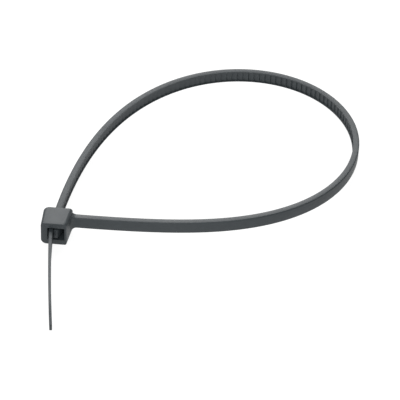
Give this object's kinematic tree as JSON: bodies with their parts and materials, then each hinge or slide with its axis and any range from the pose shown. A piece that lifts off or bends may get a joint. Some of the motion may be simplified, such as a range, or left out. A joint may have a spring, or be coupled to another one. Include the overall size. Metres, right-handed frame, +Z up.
{
  "type": "cable tie",
  "caption": "One-piece moulded plastic cable tie, fed once through its own locking head to make a loose teardrop loop, with teeth inside the strap and a thin smooth tail.",
  "frame": {"origin": "middle of the head's flat underside, which lies on the surface", "axes": "+Z up, across the strap's width; +X from the head along the neck, where the strap leaves it; +Y from the head's front face, where the tail comes out, to its back face, where the strap goes in"},
  "size_m": [0.0615, 0.0825, 0.0053],
  "materials": {
    "moulded_nylon": "satin, dark grey-black, self-coloured"
  },
  "bodies": {
    "root": {"cable_tie": "moulded_nylon"}
  },
  "joints": []
}
